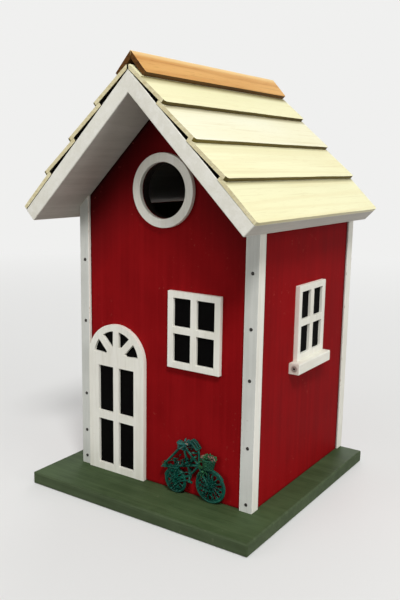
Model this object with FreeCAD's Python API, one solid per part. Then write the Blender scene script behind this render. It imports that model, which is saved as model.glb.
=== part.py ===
import FreeCAD, Part
import math
import os
from FreeCAD import Vector

os.makedirs("parts", exist_ok=True)

# All sizes are millimetres. The frame has +X to the right of someone facing the
# front, the front towards -Y and +Z up. Its origin is the middle of the footprint.

# Overall
house_width = 171.45        # across the eaves, over the shingles
house_depth = 171.45        # front to rear, over the shingles
house_height = 279.4        # underside of the base to the top of the ridge

# Base board
base_width = 169.4
base_thickness = 8.4
base_front_setback = 1.5    # from the front of the shingles
rear_setback = 0.5          # base, posts and roof boards, from the rear of the shingles
base_edge = 0.7             # eased edges

# Body
body_width = 137.4
body_depth = 136.8
post_broad = 9.2            # corner strips; the right ones show their broad face in
post_narrow = 7.6           # front, and the left ones are turned on edge
wall_thickness = 6.0
front_recess = 1.9          # front wall behind the faces of the posts
side_recess = 1.2           # side walls inside the outer faces of the posts
rear_recess = 3.6           # rear wall inside the rear faces of the posts
vent_gap = 1.7              # slot between the side walls and the roof

# Roof
roof_pitch = 44.5
roof_board = 9.2
eave_overhang = 0.6         # shingles past the ends of the roof boards
front_overhang = 0.5        # shingles past the front of the roof boards
shingle_thickness = 2.4
shingle_exposure = 28.5
shingle_lap = 5.0
shingle_courses = 4
lap_gap = 0.05
ridge_slot = 0.6            # slot between the two top courses

# Ridge strips
ridge_pitch = 48.0
ridge_width = 16.8
ridge_thickness = 3.0
ridge_front_setback = 2.6   # from the front of the shingles
ridge_rear_setback = 1.3

# Entrance
entrance_radius = 17.0
entrance_drop = 55.0        # centre below the roof boards' inner corner
ring_radius = 22.8
ring_bore_gap = 0.2         # the ring's bore past the bore in the wall

# Overlays on the walls: door, windows and ring
overlay = 3.0
pane_thickness = 1.0
pane_gap = 0.1              # round each pane in its opening
pane_width = 13.0
frame_rim = 4.2
window_bar = 4.5
window_pane_height = 18.1
front_window_centre = 24.35
front_window_bottom = 91.0
side_window_bottom = 93.6
side_window_offset = 1.5    # behind the middle of the sill
sill_length = 47.2
sill_projection = 7.6
sill_height = 7.0
sill_edge = 0.5

# Door
door_width = 47.2
door_gap = 0.1              # between the door and the corner post
door_arch_height = 88.5     # centre of the round top above the ground
door_bar = 4.6
door_mid_rail = 5.6
door_bottom_rail = 4.8
door_pane_height = 32.0
door_pane_width = 12.8
fan_panes = 4
fan_inner = 8.8
fan_outer = 19.1
fan_bar = 4.7
fan_drop = 4.0              # degrees from the level to the lowest pane

# Clean-out in the rear wall
cleanout_radius = 19.0
cleanout_height = 62.0      # centre above the ground
cover_rim = 5.0             # cover past the hole
cover_reach = 29.0          # from the pivot screw down to the middle of the hole
cover_top = 8.5             # radius of the cover round the pivot screw
cover_thickness = 2.8
cover_gap = 0.3             # between the wall and the cover
screw_radius = 1.5
screw_head_radius = 3.1
screw_head_depth = 1.7
screw_length = 8.2
screw_slot_width = 0.8
screw_slot_depth = 0.7
pivot_gap = 0.1

# Keyhole for hanging
keyhole_radius = 4.5
keyhole_slot = 4.2
keyhole_rise = 9.0
keyhole_drop = 42.2         # centre of its round part below the same corner

# Nails, with square shanks; only the post nails have heads
nail_shank = 1.3
nail_head = 1.1
nail_head_thickness = 0.4
nail_length = 19.0
nail_fit = 0.05
right_nails = (5.2, 41.4, 83.6, 114.8, 147.8)    # heights above the base
left_nails = (6.0, 25.0, 51.6, 103.1, 144.9)
base_nail_inset = 30.0      # base nails from the middle of each wall
sill_nail_length = 10.0
sill_nail_angle = 40.0      # skew of the nails through the sills' ends

# Bicycle ornament, one casting. Its places are across from the foot of the rear
# wheel and up from the base.
bicycle_left = 12.8         # foot of the rear wheel from the middle of the house
wheel_base = 26.6
rear_wheel = 8.4
front_wheel = 11.0
wheel_thickness = 2.4
wheel_rim = 2.0
wheel_edge = 0.6            # eased corners of the rims
hub_radius = 2.2
spoke_count = 6
spoke_width = 0.9
tube = 1.7
crank_radius = 2.2
crank_place = (11.2, 14.4)
rack_tip = (-10.4, 15.6)
rack_strut = (0.4, 18.2)
head_place = (17.8, 22.6)
stem_place = (17.2, 33.4)
grip_place = (12.0, 38.2)
saddle_place = (5.6, 34.0)
saddle_length = 8.6
saddle_height = 2.8
across_parts = 7.0          # width of the saddle, grip and basket, whose backs meet the wall
basket_setback = 1.6        # middle of the basket behind the front hub
basket_top = 8.6
basket_foot = 6.2
basket_height = 6.0
basket_clearance = 0.4      # foot of the basket above the front tyre
blossom_radius = 1.9
blossom_height = 1.7
blossom_count = 3

half_body = body_width / 2
rear_face = house_depth / 2 - rear_setback
front_face = rear_face - body_depth
front_wall_face = front_face + front_recess
rear_wall_face = rear_face - rear_recess
side_wall_face = half_body - side_recess
roof_front = -house_depth / 2 + front_overhang
pitch = math.radians(roof_pitch)
cap_pitch = math.radians(ridge_pitch)
shingle_length = shingle_exposure + shingle_lap
pivot_height = cleanout_height + cover_reach
cover_face = rear_wall_face + cover_gap + cover_thickness
into_house = Vector(0, 1, 0)
up = Vector(0, 0, 1)


def save(name, *solids):
    shape = solids[0] if len(solids) == 1 else Part.makeCompound(list(solids))
    shape.exportStep("parts/" + name + ".step")


def box(x0, x1, y0, y1, z0, z1):
    return Part.makeBox(x1 - x0, y1 - y0, z1 - z0, Vector(x0, y0, z0))


def disc(radius, depth, x, y, z):
    """Cylinder that runs along +Y from its front face."""
    return Part.makeCylinder(radius, depth, Vector(x, y, z), into_house)


def profile(points, y0, y1):
    """Solid of an outline in x and z, drawn out from y0 to y1."""
    corners = [Vector(x, y0, z) for x, z in points]
    face = Part.Face(Part.makePolygon(corners + corners[:1]))
    return face.extrude(Vector(0, y1 - y0, 0))


def course_leans():
    """Tilt of each course against the roof board, from the eave to the ridge."""
    leans = [0.0]
    for course in range(1, shingle_courses):
        below = leans[-1]
        rise = shingle_thickness * math.cos(below) + lap_gap
        run = shingle_exposure + shingle_thickness * math.sin(below)
        leans.append(math.atan2(rise, run))
    return leans


def eave_length():
    """Slope length of the shingled roof from its apex."""
    return (house_width / 2 - shingle_thickness * math.sin(pitch)) / math.cos(pitch)


def course_start(course):
    """Slope distance from the apex to the upper end of a course."""
    return eave_length() - course * shingle_exposure - shingle_length


def top_course_rise(x):
    """Height of the top course's upper face over the apex of the roof boards."""
    fall = pitch - course_leans()[-1]
    start = course_start(shingle_courses - 1)
    upright = shingle_thickness / math.cos(fall)
    return upright - start * math.sin(pitch) - (x - start * math.cos(pitch)) * math.tan(fall)


def roof_apex():
    """Height of the roof boards' apex, so that the ridge ends at the house height."""
    seat_x = ridge_width * math.cos(cap_pitch) - ridge_thickness * math.sin(cap_pitch)
    drop = ridge_width * math.sin(cap_pitch) + ridge_thickness * math.cos(cap_pitch)
    return house_height - drop - lap_gap - top_course_rise(seat_x)


apex = roof_apex()


def on_roof(side, slope, lift):
    """Point at a slope distance from the apex and a height off the roof boards."""
    x = slope * math.cos(pitch) + lift * math.sin(pitch)
    z = apex - slope * math.sin(pitch) + lift * math.cos(pitch)
    return side * x, z


def underside(x):
    """Height of the roof boards' lower face at a distance from the middle."""
    return apex - roof_board / math.cos(pitch) - abs(x) * math.tan(pitch)


entrance_height = underside(0) - entrance_drop
keyhole_height = underside(0) - keyhole_drop


def post_face(side):
    """Width of a corner post seen from the front."""
    return post_broad if side > 0 else post_narrow


def post_depth(side):
    """Width of a corner post seen from the side."""
    return post_narrow if side > 0 else post_broad


def panel_edge(side):
    """Where the front and rear walls meet the posts of one side."""
    return side * (half_body - post_face(side))


def base_board():
    front = -house_depth / 2 + base_front_setback
    board = box(-base_width / 2, base_width / 2, front, rear_face, 0, base_thickness)
    board = board.makeChamfer(base_edge, board.Edges)
    return board.cut(base_nails(nail_fit))


def gable_wall(y0, y1):
    left, right = panel_edge(-1), panel_edge(1)
    outline = [(left, base_thickness), (right, base_thickness), (right, underside(right)),
               (0, underside(0)), (left, underside(left))]
    return profile(outline, y0, y1)


def front_wall():
    wall = gable_wall(front_wall_face, front_wall_face + wall_thickness)
    bore = disc(entrance_radius, wall_thickness, 0, front_wall_face, entrance_height)
    return wall.cut(bore).cut(base_nails(nail_fit))


def keyhole(y, depth):
    across = keyhole_slot / 2
    top = keyhole_height + keyhole_rise
    slot = box(-across, across, y, y + depth, keyhole_height, top)
    end = disc(across, depth, 0, y, top)
    return disc(keyhole_radius, depth, 0, y, keyhole_height).fuse(slot).fuse(end)


def rear_wall():
    inner = rear_wall_face - wall_thickness
    wall = gable_wall(inner, rear_wall_face)
    wall = wall.cut(disc(cleanout_radius, wall_thickness, 0, inner, cleanout_height))
    wall = wall.cut(keyhole(inner, wall_thickness))
    return wall.cut(pivot_screw()).cut(base_nails(nail_fit))


def cleanout_cover():
    """Drop-shaped cover that hangs from one screw over the clean-out hole."""
    y = rear_wall_face + cover_gap
    wide = cleanout_radius + cover_rim
    side = math.asin((wide - cover_top) / cover_reach)

    def tangent(radius, height, sign):
        return Vector(sign * radius * math.cos(side), y, height + radius * math.sin(side))

    crown = Vector(0, y, pivot_height + cover_top)
    foot = Vector(0, y, cleanout_height - wide)
    top_left, top_right = [tangent(cover_top, pivot_height, sign) for sign in (-1, 1)]
    low_left, low_right = [tangent(wide, cleanout_height, sign) for sign in (-1, 1)]
    edges = [Part.Arc(top_right, crown, top_left).toShape(),
             Part.LineSegment(top_left, low_left).toShape(),
             Part.Arc(low_left, foot, low_right).toShape(),
             Part.LineSegment(low_right, top_right).toShape()]
    cover = Part.Face(Part.Wire(edges)).extrude(Vector(0, cover_thickness, 0))
    return cover.cut(screw_shape(pivot_gap))


def screw_shape(gap):
    """Countersunk screw along Y with its head flush in the cover."""
    neck = Vector(0, cover_face - screw_head_depth, pivot_height)
    shank = disc(screw_radius + gap, screw_length, 0, cover_face - screw_length, pivot_height)
    cone = Part.makeCone(screw_radius + gap, screw_head_radius + gap, screw_head_depth,
                         neck, into_house)
    return shank.fuse(cone)


def pivot_screw():
    half = screw_slot_width / 2
    low = cover_face - screw_slot_depth
    slot = box(-screw_head_radius, screw_head_radius, low, cover_face,
               pivot_height - half, pivot_height + half)
    return screw_shape(0).cut(slot)


def side_wall(side):
    low, high = sorted((side * side_wall_face, side * (side_wall_face - wall_thickness)))
    top = underside(side_wall_face) - vent_gap
    front, rear = front_face + post_depth(side), rear_face - post_depth(side)
    wall = box(low, high, front, rear, base_thickness, top)
    return wall.cut(post_nails(nail_fit)).cut(base_nails(nail_fit)).cut(sill_nails(nail_fit))


def corner_post(side, y0):
    inner, outer = panel_edge(side), side * half_body
    outline = [(inner, base_thickness), (outer, base_thickness),
               (outer, underside(outer)), (inner, underside(inner))]
    post = profile(outline, y0, y0 + post_depth(side))
    return post.cut(post_nails(nail_fit))


def shank(point, direction, length, fit):
    """Square shank of a nail, driven along a direction from a point."""
    width = nail_shank + 2 * fit
    nail = Part.makeBox(width, width, length, Vector(-width / 2, -width / 2, 0))
    nail.Placement = FreeCAD.Placement(point, FreeCAD.Rotation(up, direction))
    return nail


def post_nails(fit=0.0):
    """Nails through the corner posts into the ends of the side walls."""
    x = side_wall_face - wall_thickness / 2
    nails = []
    for side, heights in ((1, right_nails), (-1, left_nails)):
        for height in heights:
            for face, inwards in ((front_face, into_house), (rear_face, -into_house)):
                point = Vector(side * x, face, base_thickness + height)
                nail = shank(point, inwards, nail_length, fit)
                head = Part.makeCylinder(nail_head, nail_head_thickness, point, -inwards)
                nails.append(nail if fit else nail.fuse(head))
    return Part.makeCompound(nails)


def base_nails(fit=0.0):
    """Nails up through the base, two into each wall, flush with its underside."""
    front_y = front_wall_face + wall_thickness / 2
    rear_y = rear_wall_face - wall_thickness / 2
    side_x = side_wall_face - wall_thickness / 2
    middle_y = (front_face + rear_face) / 2
    places = []
    for sign in (-1, 1):
        places.append((sign * base_nail_inset, front_y))
        places.append((sign * base_nail_inset, rear_y))
        places.append((-side_x, middle_y + sign * base_nail_inset))
        places.append((side_x, middle_y + sign * base_nail_inset))
    return Part.makeCompound([shank(Vector(x, y, 0), up, nail_length, fit) for x, y in places])


def sill_nails(fit=0.0):
    """Nails driven askew through the ends of the sills into the side walls."""
    lean = math.radians(sill_nail_angle)
    reach = sill_length / 2
    ends = box(-reach, reach, -sill_projection, sill_nail_length, -sill_height, 0)
    nails = []
    for end in (-1, 1):
        point = Vector(end * reach, -sill_projection / 2, -sill_height / 2)
        direction = Vector(-end * math.cos(lean), math.sin(lean), 0)
        start = point - direction * nail_shank
        nail = shank(start, direction, sill_nail_length, fit).common(ends)
        nails += [on_side(nail, side, side_window_bottom) for side in (-1, 1)]
    return Part.makeCompound(nails)


def roof_board_shape(side):
    length = eave_length() - eave_overhang
    outline = [on_roof(side, 0, 0), on_roof(side, length, 0),
               on_roof(side, length, -roof_board), (0, underside(0))]
    return profile(outline, roof_front, rear_face)


def shingle(side, course):
    """One board of a course, leaning on the course below it."""
    lean = course_leans()[course]
    along = Vector(math.cos(lean), math.sin(lean), 0)
    off = Vector(-math.sin(lean), math.cos(lean), 0)
    top = Vector(course_start(course), 0, 0)
    foot = top + along * shingle_length
    local = [top, foot, foot + off * shingle_thickness, top + off * shingle_thickness]
    outline = [on_roof(side, point.x, point.y) for point in local]
    board = profile(outline, -house_depth / 2, house_depth / 2)
    low, high = sorted((side * ridge_slot / 2, side * house_width))
    half = box(low, high, -house_depth, house_depth, 0, 2 * house_height)
    return board.common(half)


def ridge_strip(side):
    run, fall = math.cos(cap_pitch), math.sin(cap_pitch)
    low_x = ridge_width * run
    low_z = house_height - ridge_width * fall
    outline = [(0, house_height), (side * low_x, low_z),
               (side * (low_x - ridge_thickness * fall), low_z - ridge_thickness * run),
               (0, house_height - ridge_thickness / run)]
    front = -house_depth / 2 + ridge_front_setback
    return profile(outline, front, house_depth / 2 - ridge_rear_setback)


def entrance_ring():
    y = front_wall_face - overlay
    bore = disc(entrance_radius + ring_bore_gap, overlay, 0, y, entrance_height)
    return disc(ring_radius, overlay, 0, y, entrance_height).cut(bore)


def window_openings(gap):
    """The four pane outlines of a window as (x0, x1, z0, z1) from its lower middle."""
    inner = window_bar / 2
    outer = inner + pane_width
    openings = []
    for z in (frame_rim, frame_rim + window_pane_height + window_bar):
        top = z + window_pane_height - gap
        openings.append((-outer + gap, -inner - gap, z + gap, top))
        openings.append((inner + gap, outer - gap, z + gap, top))
    return openings


def window_frame():
    """Frame on the plane y = 0, facing -Y, with its lower middle at the origin."""
    half = window_bar / 2 + pane_width + frame_rim
    height = 2 * (frame_rim + window_pane_height) + window_bar
    frame = box(-half, half, -overlay, 0, 0, height)
    for x0, x1, z0, z1 in window_openings(0):
        frame = frame.cut(box(x0, x1, -overlay, 0, z0, z1))
    return frame


def window_panes():
    return [box(x0, x1, -pane_thickness, 0, z0, z1) for x0, x1, z0, z1 in window_openings(pane_gap)]


def sill():
    board = box(-sill_length / 2, sill_length / 2, -sill_projection, 0, -sill_height, 0)
    front = [edge for edge in board.Edges if edge.BoundBox.YMax < -sill_projection / 2]
    return board.makeChamfer(sill_edge, front)


def on_side(shape, side, height, offset=0.0):
    """Turns a piece made for the front plane to a side wall, at or behind its middle."""
    turned = shape.copy()
    turned.rotate(Vector(0, 0, 0), up, side * 90)
    middle = (front_face + rear_face) / 2
    turned.translate(Vector(side * side_wall_face, middle + offset, height))
    return turned


def on_front(shape, x, height):
    moved = shape.copy()
    moved.translate(Vector(x, front_wall_face, height))
    return moved


def door_panel():
    """Face of the round-topped door, on the plane y = 0 with its middle at x = 0."""
    half = door_width / 2
    foot_left, foot_right = Vector(-half, 0, base_thickness), Vector(half, 0, base_thickness)
    left, right = Vector(-half, 0, door_arch_height), Vector(half, 0, door_arch_height)
    crown = Vector(0, 0, door_arch_height + half)
    edges = [Part.LineSegment(foot_left, foot_right).toShape(),
             Part.LineSegment(foot_right, right).toShape(),
             Part.Arc(right, crown, left).toShape(),
             Part.LineSegment(left, foot_left).toShape()]
    return Part.Face(Part.Wire(edges))


def fan_pane(index, depth, gap):
    """One pane of the fanlight: a sector of a ring with parallel bars beside it."""
    step = (180 - 2 * fan_drop) / fan_panes
    first = math.radians(fan_drop + index * step)
    last = math.radians(fan_drop + (index + 1) * step)
    inner, outer = fan_inner + gap, fan_outer - gap

    def corner(radius, angle, sign=0):
        turned = angle + sign * math.asin((fan_bar / 2 + gap) / radius)
        height = door_arch_height + radius * math.sin(turned)
        return Vector(radius * math.cos(turned), 0, height)

    low_in, low_out = corner(inner, first, 1), corner(outer, first, 1)
    high_in, high_out = corner(inner, last, -1), corner(outer, last, -1)
    middle = (first + last) / 2
    edges = [Part.LineSegment(low_in, low_out).toShape(),
             Part.Arc(low_out, corner(outer, middle), high_out).toShape(),
             Part.LineSegment(high_out, high_in).toShape(),
             Part.Arc(high_in, corner(inner, middle), low_in).toShape()]
    return Part.Face(Part.Wire(edges)).extrude(Vector(0, -depth, 0))


def door_panes(depth, gap):
    inner = door_bar / 2 + gap
    outer = door_bar / 2 + door_pane_width - gap
    panes = []
    for level in range(2):
        low = base_thickness + door_bottom_rail + level * (door_pane_height + door_mid_rail)
        for x0, x1 in ((-outer, -inner), (inner, outer)):
            panes.append(box(x0, x1, -depth, 0, low + gap, low + door_pane_height - gap))
    return panes + [fan_pane(index, depth, gap) for index in range(fan_panes)]


def door():
    panel = door_panel().extrude(Vector(0, -overlay, 0))
    return panel.cut(Part.makeCompound(door_panes(overlay, 0)))


def bar(start, end, width, y):
    """Square bar between two places in x and z, with its middle at y."""
    length = math.hypot(end[0] - start[0], end[1] - start[1])
    across = (end[1] - start[1]) * width / length / 2
    lift = (start[0] - end[0]) * width / length / 2
    corners = [(start[0] + across, start[1] + lift), (end[0] + across, end[1] + lift),
               (end[0] - across, end[1] - lift), (start[0] - across, start[1] - lift)]
    return profile(corners, y - width / 2, y + width / 2)


def wheel(hub, radius, y):
    """Wheel standing on the base: rim, hub and spokes."""
    x, z = hub
    front = y - wheel_thickness / 2
    rim = disc(radius, wheel_thickness, x, front, z)
    rim = rim.makeChamfer(wheel_edge, [edge for edge in rim.Edges if edge.Closed])
    pieces = [rim.cut(disc(radius - wheel_rim, wheel_thickness, x, front, z)),
              disc(hub_radius, wheel_thickness, x, front, z)]
    reach = radius - wheel_rim / 2
    for index in range(spoke_count // 2):
        angle = 2 * math.pi * index / spoke_count
        run, rise = reach * math.cos(angle), reach * math.sin(angle)
        pieces.append(bar((x - run, z - rise), (x + run, z + rise), spoke_width, y))
    return pieces


def saddle(place, y0, y1):
    x, z = place
    tail, nose = x - saddle_length / 2, x + saddle_length / 2
    outline = [(tail, z), (nose, z), (nose, z + saddle_height / 2),
               (x, z + saddle_height / 2), (tail, z + saddle_height)]
    return profile(outline, y0, y1)


def basket(x, z, y0, y1):
    """Tapered basket with a row of blossoms on its rim."""
    rims = []
    for length, height in ((basket_foot, z), (basket_top, z + basket_height)):
        corners = [Vector(x + sign * length / 2, y, height)
                   for sign, y in ((-1, y0), (1, y0), (1, y1), (-1, y1))]
        rims.append(Part.makePolygon(corners + corners[:1]))
    pieces = [Part.makeLoft(rims, True)]
    step = (basket_top - 2 * blossom_radius) / (blossom_count - 1)
    for index in range(blossom_count):
        middle = x - basket_top / 2 + blossom_radius + index * step
        foot = Vector(middle, (y0 + y1) / 2, z + basket_height)
        pieces.append(Part.makeCone(blossom_radius, blossom_radius / 2, blossom_height, foot))
    return pieces


def bicycle():
    """Bicycle that stands on the base, with its wider parts against the front wall."""
    y0, y1 = front_wall_face - across_parts, front_wall_face
    y = (y0 + y1) / 2

    def place(across, height):
        return bicycle_left + across, base_thickness + height

    rear, front = place(0, rear_wheel), place(wheel_base, front_wheel)
    crank, head, seat = place(*crank_place), place(*head_place), place(*saddle_place)
    rack, strut = place(*rack_tip), place(*rack_strut)
    stem, grip = place(*stem_place), place(*grip_place)
    pieces = wheel(rear, rear_wheel, y) + wheel(front, front_wheel, y)
    for start, end in ((rear, crank), (crank, seat), (crank, head), (seat, head), (rack, head),
                       (rack, seat), (rear, strut), (head, stem), (stem, grip), (head, front)):
        pieces.append(bar(start, end, tube, y))
    pieces.append(disc(crank_radius, wheel_thickness, crank[0], y - wheel_thickness / 2, crank[1]))
    pieces.append(disc(tube / 2, across_parts, grip[0], y0, grip[1]))
    pieces.append(saddle(seat, y0, y1))
    basket_z = base_thickness + 2 * front_wheel + basket_clearance
    pieces += basket(front[0] - basket_setback, basket_z, y0, y1)
    pieces.append(bar(head, (front[0] - basket_setback, basket_z + tube / 2), tube, y))
    return pieces[0].multiFuse(pieces[1:]).removeSplitter()


def save_window(name, turn):
    save(name + "_window_frame", turn(window_frame()))
    save(name + "_window_panes", *[turn(pane) for pane in window_panes()])


def save_side(name, side):
    """Everything that one side of the house has as its own."""
    save(name + "_side_wall", side_wall(side))
    save("front_" + name + "_post", corner_post(side, front_face))
    save("rear_" + name + "_post", corner_post(side, rear_face - post_depth(side)))
    save(name + "_roof_board", roof_board_shape(side))
    for course in range(shingle_courses):
        save("%s_shingle_%d" % (name, course + 1), shingle(side, course))
    save(name + "_ridge_strip", ridge_strip(side))
    save_window(name, lambda piece: on_side(piece, side, side_window_bottom, side_window_offset))
    drilled = on_side(sill(), side, side_window_bottom).cut(sill_nails(nail_fit))
    save(name + "_window_sill", drilled)


def build():
    save("base_board", base_board())
    save("front_wall", front_wall())
    save("rear_wall", rear_wall())
    save_side("left", -1)
    save_side("right", 1)
    save_window("front", lambda piece: on_front(piece, front_window_centre, front_window_bottom))
    door_x = panel_edge(-1) + door_gap + door_width / 2
    save("door_frame", on_front(door(), door_x, 0))
    save("door_panes", *[on_front(p, door_x, 0) for p in door_panes(pane_thickness, pane_gap)])
    save("entrance_ring", entrance_ring())
    save("cleanout_cover", cleanout_cover())
    save("pivot_screw", pivot_screw())
    save("post_nails", *post_nails().Solids)
    save("base_nails", *base_nails().Solids)
    save("sill_nails", *sill_nails().Solids)
    save("bicycle", bicycle())


build()
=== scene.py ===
import math
import bmesh
import bpy
from mathutils import Matrix, Vector, noise


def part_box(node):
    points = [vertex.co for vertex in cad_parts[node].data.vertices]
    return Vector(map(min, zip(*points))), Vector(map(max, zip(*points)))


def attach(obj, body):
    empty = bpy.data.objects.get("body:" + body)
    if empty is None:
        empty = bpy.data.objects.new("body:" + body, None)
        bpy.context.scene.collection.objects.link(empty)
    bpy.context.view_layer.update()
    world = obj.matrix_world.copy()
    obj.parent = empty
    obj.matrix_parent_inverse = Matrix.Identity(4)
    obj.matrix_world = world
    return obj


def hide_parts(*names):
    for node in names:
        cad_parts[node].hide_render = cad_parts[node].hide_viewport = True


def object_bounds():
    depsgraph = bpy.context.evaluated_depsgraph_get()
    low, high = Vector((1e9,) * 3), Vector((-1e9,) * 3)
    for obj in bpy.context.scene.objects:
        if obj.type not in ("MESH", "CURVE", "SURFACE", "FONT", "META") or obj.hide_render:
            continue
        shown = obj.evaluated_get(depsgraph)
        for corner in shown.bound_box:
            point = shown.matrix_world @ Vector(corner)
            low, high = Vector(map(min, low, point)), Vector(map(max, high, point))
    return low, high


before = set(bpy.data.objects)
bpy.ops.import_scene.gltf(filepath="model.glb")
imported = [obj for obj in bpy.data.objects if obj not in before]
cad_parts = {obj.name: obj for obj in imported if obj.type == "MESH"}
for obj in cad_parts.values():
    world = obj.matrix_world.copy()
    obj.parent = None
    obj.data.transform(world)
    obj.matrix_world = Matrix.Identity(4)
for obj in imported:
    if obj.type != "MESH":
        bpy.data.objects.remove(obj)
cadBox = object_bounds()
houseCentre = (cadBox[0] + cadBox[1]) / 2
mm = 0.001
bpy.context.scene.view_settings.view_transform = "Standard"
print("frame loaded")


def operator(operation, reflected=False):
    # reflected is for a number on the left of a wire
    def apply(wire, other):
        return wire.tree.maths(operation, *((other, wire) if reflected else (wire, other)))
    return apply


# node trees: a wire is one output socket, and arithmetic on it adds Math nodes
class Wire:
    def __init__(self, tree, socket):
        self.tree = tree
        self.socket = socket

    __add__, __radd__ = operator("ADD"), operator("ADD", reflected=True)
    __sub__, __rsub__ = operator("SUBTRACT"), operator("SUBTRACT", reflected=True)
    __mul__, __rmul__ = operator("MULTIPLY"), operator("MULTIPLY", reflected=True)
    __truediv__, __rtruediv__ = operator("DIVIDE"), operator("DIVIDE", reflected=True)


class Tree:
    # a node tree that is written one node at a time
    def __init__(self, tree):
        self.tree = tree

    def node(self, kind, inputs=None, output=0, **settings):
        # an input is a value, a wire or a list of wires; several output names give several wires
        made = self.tree.nodes.new(kind)
        for key, value in settings.items():
            setattr(made, key, value)
        for key, value in (inputs or {}).items():
            if not isinstance(value, (Wire, list)):
                made.inputs[key].default_value = value
                continue
            for wire in value if isinstance(value, list) else [value]:
                self.tree.links.new(wire.socket, made.inputs[key])
        if isinstance(output, tuple):
            return [Wire(self, made.outputs[name]) for name in output]
        return Wire(self, made.outputs[output]) if len(made.outputs) else None

    def maths(self, operation, *values):
        return self.node("ShaderNodeMath", dict(enumerate(values)), operation=operation)

    def split(self, vector, axis):
        return self.node("ShaderNodeSeparateXYZ", {"Vector": vector}, output=axis)

    def joined(self, x, y, z):
        return self.node("ShaderNodeCombineXYZ", {"X": x, "Y": y, "Z": z})


class Finish(Tree):
    # a material, with what is the same all over written on its shader's own sockets
    def __init__(self, name, constants):
        self.material = bpy.data.materials.new(name)
        self.material.use_nodes = True
        super().__init__(self.material.node_tree)
        self.shader = self.tree.nodes["Principled BSDF"]
        for socket, value in constants.items():
            self.shader.inputs[socket].default_value = value
        self.place = self.node("ShaderNodeTexCoord", output="Object")

    def feed(self, socket, wire):
        self.tree.links.new(wire.socket, self.shader.inputs[socket])

    def noise(self, scale, detail=3.0, roughness=0.5, distortion=0.0, finer=1.0):
        # scale is one number per metre, or one for each axis
        where = self.place
        if isinstance(scale, tuple):
            where = self.node("ShaderNodeMapping", {"Vector": where, "Scale": scale})
            scale = finer
        return self.node("ShaderNodeTexNoise", {"Vector": where, "Scale": scale, "Detail": detail,
                                                "Roughness": roughness, "Distortion": distortion})

    def band(self, wire, low, high, most=1.0):
        # 0 below low, most above high, straight between
        return self.node("ShaderNodeMapRange", {"Value": wire, "From Min": low, "From Max": high,
                                                "To Max": most})

    def mix(self, factor, first, second):
        # between two wires or written colours
        first, second = (value if isinstance(value, Wire) else linear(value) for value in (first, second))
        return self.node("ShaderNodeMix", {0: factor, 6: first, 7: second}, output=2, data_type="RGBA")

    def tint(self, shade, wire, span, colour, most=1.0):
        # a colour laid over a shade where the wire is high
        return self.mix(self.band(wire, *span, most), shade, colour)

    def offCentre(self, axis, centre=0.0):
        # distance from a middle plane, to either side
        return self.maths("ABSOLUTE", self.split(self.place, axis) - centre)

    def laid(self, shade, rough, height, relief, deepest=0.3 * mm):
        # the whole surface at once: its colour, roughness and fine relief
        self.feed("Base Color", shade)
        self.feed("Roughness", rough)
        self.feed("Normal", self.node("ShaderNodeBump", {"Height": height, "Strength": relief,
                                                         "Distance": deepest}))
        return self.material


def linear(colour):
    # colours are written as they look on a screen, from 0 to 255
    def light(share):
        return share / 12.92 if share <= 0.04045 else ((share + 0.055) / 1.055) ** 2.4
    return tuple(light(value / 255) for value in colour) + (1.0,)


roofAngle = math.radians(44.5)
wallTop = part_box("front_wall")[1].z
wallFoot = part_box("front_wall")[0].z
bodyLow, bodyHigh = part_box("front_left_post")[0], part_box("rear_right_post")[1]
bodyCentre = (bodyLow + bodyHigh) / 2
grainOf = {"X": (60, 900, 900), "Y": (900, 60, 900), "Z": (900, 900, 60)}   # per metre, low along the grain
brushOf = {"X": (5, 260, 260), "Y": (260, 5, 260), "Z": (260, 260, 5)}
cloudBand = (0.36, 0.64)    # the part of a cloud's noise that goes from deep to tone


def wallSpan(node, axis):
    low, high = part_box(node)
    return axis, (low[axis] + high[axis]) / 2, (high[axis] - low[axis]) / 2


# brushed paint on the walls, the trim and the base
# painted shade on the walls: under the roof boards, in the seam below them, beside the posts and at the foot
wallPaintedShade = dict(
    shelter=60 * mm, shelterMost=0.9, shelterWaver=8.0 * mm, stain=(38, 7, 9), seam=(3.2 * mm, 1.0 * mm),
    seamMost=0.85, seamTone=(22, 5, 5), corner=(1.5 * mm, 0.3 * mm), cornerMost=0.6, cornerWaver=0.8 * mm,
    foot=(1.8 * mm, 0.3 * mm), footMost=0.5, dirtTone=(40, 6, 8), span=wallSpan("front_wall", 0))
# the side walls' painted shade under the eaves is narrower and fainter
sidePaintedShade = dict(wallPaintedShade, shelter=18 * mm, shelterMost=0.5, span=wallSpan("left_side_wall", 1))
# the dark bare wood inside the chamber is partly painted shade
chamber = dict(
    wide=bodyHigh.x - 3 * mm, deep=bodyHigh.y - bodyCentre.y - 5 * mm, edge=0.2 * mm, wood=(70, 56, 38))
brushedPaint = dict(
    brushBand=(0.42, 0.68), fibreBand=(0.52, 0.74), patchScale=31.0, patchBand=(0.5, 0.62), rubSpread=0.05,
    grain="Z", cloudRough=0.14, brushRough=0.1, wornRough=0.1, fibreRise=0.45, brushRise=0.35,
    speckleRise=0.2, wornDip=0.4)
barnRed = dict(
    brushedPaint, tone=(142, 15, 19), deep=(128, 11, 15), light=(152, 21, 25), dark=(112, 9, 12),
    under=(170, 84, 72), brush=0.4, streak=0.28, rub=0.35, rubFrom=0.66, rough=0.5, relief=0.25, gloss=0.03,
    cloudScale=20.0, speckleScale=380.0, dirt=wallPaintedShade)
trimWhite = dict(
    brushedPaint, tone=(240, 238, 226), deep=(230, 227, 214), light=(248, 246, 238), dark=(212, 208, 194),
    under=(178, 164, 138), brush=0.5, streak=0.35, rub=0.35, rubFrom=0.68, rough=0.45, relief=0.2,
    gloss=0.35, cloudScale=24.0, speckleScale=420.0)
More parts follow.
